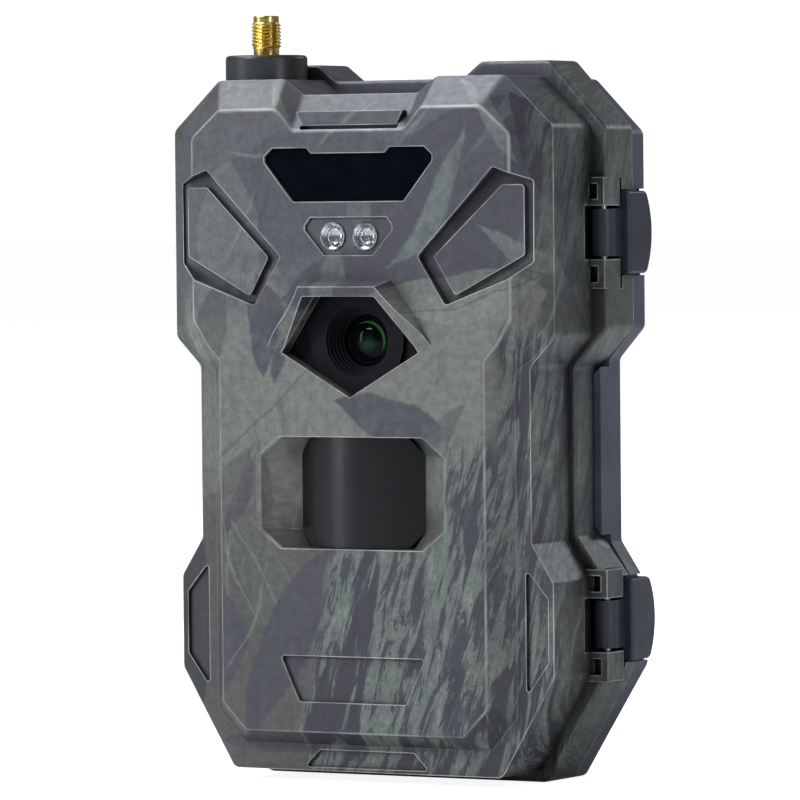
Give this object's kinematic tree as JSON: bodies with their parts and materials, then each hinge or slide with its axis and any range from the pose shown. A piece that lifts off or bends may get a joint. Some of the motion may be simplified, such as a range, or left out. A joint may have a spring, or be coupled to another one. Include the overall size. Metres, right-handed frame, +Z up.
{
  "type": "trail camera",
  "caption": "Cellular trail camera with camouflage front half on a side hinge, over-centre latches, motion sensor, lamp windows, antenna port, screen with keys and battery half behind.",
  "frame": {"origin": "mouth of the tripod socket in the flat base", "axes": "+X to the latch side, +Y from the front panel back to the tree, +Z up"},
  "size_m": [0.1017, 0.0683, 0.1562],
  "materials": {
    "camo_plastic": "printed leaf camouflage, satin",
    "dark_plastic": "dark slate satin moulding",
    "latch_plastic": "dark slate satin",
    "black_plastic": "black satin",
    "panel_plastic": "black textured",
    "lid_plastic": "dark grey textured",
    "boss_plastic": "dark grey gloss",
    "ir_filter": "near-black polished filter",
    "pir_film": "dark translucent film",
    "clear_lens": "clear polished",
    "lens_glass": "coated optical glass",
    "filter_glass": "coated filter",
    "screen": "dark screen window",
    "sensor_glass": "sensor under glass",
    "led_chip": "phosphor chip",
    "led_epoxy": "dark infrared epoxy",
    "circuit_board": "solder mask",
    "chip_plastic": "moulded package",
    "card_plastic": "card shell",
    "sim_plastic": "white card",
    "switch_plastic": "light grey",
    "steel_can": "drawn can",
    "shield_can": "tinned shield",
    "pin_steel": "ground pin",
    "screw_steel": "blackened screw",
    "contact_steel": "nickel-plated spring steel",
    "lens_barrel": "black anodised",
    "gold_brass": "gold-plated",
    "insert_brass": "turned brass",
    "jack_metal": "black socket",
    "ptfe": "white insulator",
    "coax_jacket": "black jacket",
    "key_rubber": "grey silicone",
    "gasket_rubber": "grey silicone seal",
    "flap_rubber": "black soft flap",
    "cell_jacket": "plain shrink label"
  },
  "bodies": {
    "rear": {"rear_housing": "dark_plastic", "door_gasket": "gasket_rubber", "hinge_pins": "pin_steel", "tripod_insert": "insert_brass", "dc_jack": "jack_metal", "battery_tray": "panel_plastic", "battery_cells": "cell_jacket", "battery_contacts": "contact_steel"},
    "front": {"antenna_boss": "boss_plastic", "coax_lead": "coax_jacket", "flash_bezel": "camo_plastic", "flash_board": "circuit_board", "flash_leds": "led_chip", "flash_lenses": "clear_lens", "front_cover": "camo_plastic", "image_sensor": "sensor_glass", "inner_panel": "panel_plastic", "ir_led_board": "circuit_board", "ir_leds": "led_epoxy", "ir_window": "ir_filter", "latch_pin_lower": "pin_steel", "latch_pin_upper": "pin_steel", "lcd_module": "shield_can", "lcd_window": "screen", "lens_barrel": "lens_barrel", "lens_bezel": "black_plastic", "lens_front_glass": "lens_glass", "lens_holder": "black_plastic", "lens_rear_glass": "lens_glass", "main_board": "circuit_board", "microphone": "steel_can", "modem_module": "shield_can", "panel_screws": "screw_steel", "pir_board": "circuit_board", "pir_lens": "pir_film", "pir_sensor": "steel_can", "processor": "chip_plastic", "sd_socket": "shield_can", "sensor_board": "circuit_board", "sim_socket": "shield_can", "sma_connector": "gold_brass", "sma_contact": "gold_brass", "sma_dielectric": "ptfe", "speaker": "black_plastic"},
    "latch_upper": {"latch_arm_upper": "latch_plastic"},
    "latch_lower": {"latch_arm_lower": "latch_plastic"},
    "key_up": {"key_up": "key_rubber"},
    "key_down": {"key_down": "key_rubber"},
    "key_left": {"key_left": "key_rubber"},
    "key_right": {"key_right": "key_rubber"},
    "key_ok": {"key_ok": "key_rubber"},
    "power_switch": {"power_switch": "switch_plastic"},
    "sd_card": {"sd_card": "card_plastic"},
    "sim_card": {"sim_card": "sim_plastic"},
    "ir_cut_filter": {"ir_cut_filter": "filter_glass"},
    "battery_door": {"battery_door": "lid_plastic"},
    "port_flap": {"port_flap": "flap_rubber"}
  },
  "joints": [
    {"name": "front_hinge", "type": "hinge", "parent": "rear", "child": "front", "pos_m": [-0.0499, -0.01125, 0.076], "axis": [0, 0, -1], "range_deg": [0, 120]},
    {"name": "latch_upper_hinge", "type": "hinge", "parent": "front", "child": "latch_upper", "pos_m": [0.0453, -0.0195, 0.1112], "axis": [0, 0, -1], "range_deg": [0, 105]},
    {"name": "latch_lower_hinge", "type": "hinge", "parent": "front", "child": "latch_lower", "pos_m": [0.0453, -0.0195, 0.0323], "axis": [0, 0, -1], "range_deg": [0, 105]},
    {"name": "key_up_press", "type": "slide", "parent": "front", "child": "key_up", "axis": [0, -1, 0], "range_m": [0, 0.0006], "stiffness_N_per_m": 400, "springref_m": -0.0004},
    {"name": "key_down_press", "type": "slide", "parent": "front", "child": "key_down", "axis": [0, -1, 0], "range_m": [0, 0.0006], "stiffness_N_per_m": 400, "springref_m": -0.0004},
    {"name": "key_left_press", "type": "slide", "parent": "front", "child": "key_left", "axis": [0, -1, 0], "range_m": [0, 0.0006], "stiffness_N_per_m": 400, "springref_m": -0.0004},
    {"name": "key_right_press", "type": "slide", "parent": "front", "child": "key_right", "axis": [0, -1, 0], "range_m": [0, 0.0006], "stiffness_N_per_m": 400, "springref_m": -0.0004},
    {"name": "key_ok_press", "type": "slide", "parent": "front", "child": "key_ok", "axis": [0, -1, 0], "range_m": [0, 0.0006], "stiffness_N_per_m": 400, "springref_m": -0.0004},
    {"name": "power_switch_slide", "type": "slide", "parent": "front", "child": "power_switch", "axis": [1, 0, 0], "range_m": [0, 0.008]},
    {"name": "sd_card_slide", "type": "slide", "parent": "front", "child": "sd_card", "axis": [0, 0, -1], "range_m": [0, 0.003]},
    {"name": "sim_card_slide", "type": "slide", "parent": "front", "child": "sim_card", "axis": [0, 0, -1], "range_m": [0, 0.003]},
    {"name": "ir_cut_slide", "type": "slide", "parent": "front", "child": "ir_cut_filter", "axis": [1, 0, 0], "range_m": [0, 0.006]},
    {"name": "battery_door_slide", "type": "slide", "parent": "rear", "child": "battery_door", "axis": [0, 0, 1], "range_m": [0, 0.002]},
    {"name": "port_flap_hinge", "type": "hinge", "parent": "rear", "child": "port_flap", "pos_m": [-0.0147, 0, 0.0011], "axis": [0, -1, 0], "range_deg": [0, 95]}
  ]
}
